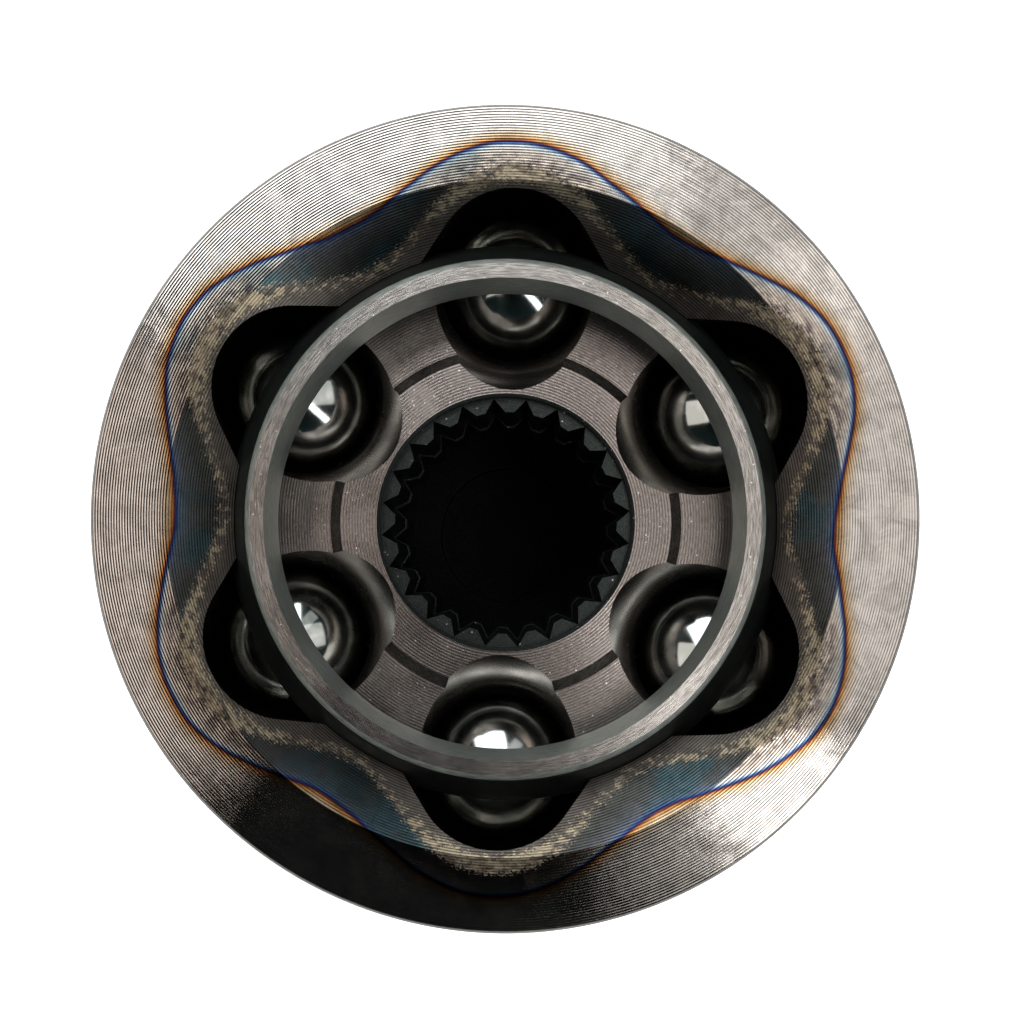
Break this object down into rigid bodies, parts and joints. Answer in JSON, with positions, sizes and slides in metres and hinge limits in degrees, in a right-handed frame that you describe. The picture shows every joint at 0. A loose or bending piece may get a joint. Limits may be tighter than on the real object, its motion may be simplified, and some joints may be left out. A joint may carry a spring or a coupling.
{
  "type": "constant velocity joint",
  "caption": "Fixed constant-velocity joint for the wheel end of a drive shaft: bell outer race with splined stub shaft, splined inner race, cage and balls in curved tracks.",
  "frame": {"origin": "joint centre, where the joint angle, both spheres and the ball circle are centred", "axes": "+Z along the joint axis out of the mouth, towards the drive shaft; the stub shaft points to -Z; +Y through the centre of ball_1"},
  "size_m": [0.08, 0.08, 0.1336],
  "materials": {
    "turned_steel": "fine turned face with a hardening tint round the mouth",
    "machined_steel": "turned, satin",
    "ground_steel": "ground, satin grey",
    "polished_steel": "polished bearing steel"
  },
  "bodies": {
    "outer_race": {"outer_race": "turned_steel"},
    "inner_race": {"inner_race": "machined_steel"},
    "cage": {"cage": "ground_steel"},
    "ball_1": {"ball_1": "polished_steel"},
    "ball_2": {"ball_2": "polished_steel"},
    "ball_3": {"ball_3": "polished_steel"},
    "ball_4": {"ball_4": "polished_steel"},
    "ball_5": {"ball_5": "polished_steel"},
    "ball_6": {"ball_6": "polished_steel"}
  },
  "joints": [
    {"name": "articulation", "type": "hinge", "parent": "outer_race", "child": "inner_race", "pos_m": [0, 0, 0], "axis": [1, 0, 0], "range_deg": [-42, 42]},
    {"name": "cage_tilt", "type": "hinge", "parent": "outer_race", "child": "cage", "pos_m": [0, 0, 0], "axis": [1, 0, 0], "range_deg": [-21.5, 21.5]},
    {"name": "ball_1_roll", "type": "hinge", "parent": "outer_race", "child": "ball_1", "pos_m": [0, 0, 0.0025], "axis": [1, 0, 0], "range_deg": [-21.5, 21.5]},
    {"name": "ball_2_roll", "type": "hinge", "parent": "outer_race", "child": "ball_2", "pos_m": [0, 0, 0.0025], "axis": [0.5, 0.866, 0], "range_deg": [-11.5, 11.5]},
    {"name": "ball_3_roll", "type": "hinge", "parent": "outer_race", "child": "ball_3", "pos_m": [0, 0, 0.0025], "axis": [-0.5, 0.866, 0], "range_deg": [-11.5, 11.5]},
    {"name": "ball_4_roll", "type": "hinge", "parent": "outer_race", "child": "ball_4", "pos_m": [0, 0, 0.0025], "axis": [-1, 0, 0], "range_deg": [-21.5, 21.5]},
    {"name": "ball_5_roll", "type": "hinge", "parent": "outer_race", "child": "ball_5", "pos_m": [0, 0, 0.0025], "axis": [-0.5, -0.866, 0], "range_deg": [-11.5, 11.5]},
    {"name": "ball_6_roll", "type": "hinge", "parent": "outer_race", "child": "ball_6", "pos_m": [0, 0, 0.0025], "axis": [0.5, -0.866, 0], "range_deg": [-11.5, 11.5]}
  ],
  "couplings": [
    {"joint": "cage_tilt", "follows": "articulation", "ratio": 0.5},
    {"joint": "ball_1_roll", "follows": "articulation", "ratio": 0.5},
    {"joint": "ball_2_roll", "follows": "articulation", "ratio": 0.2554},
    {"joint": "ball_3_roll", "follows": "articulation", "ratio": -0.2554},
    {"joint": "ball_4_roll", "follows": "articulation", "ratio": -0.5},
    {"joint": "ball_5_roll", "follows": "articulation", "ratio": -0.2554},
    {"joint": "ball_6_roll", "follows": "articulation", "ratio": 0.2554}
  ]
}
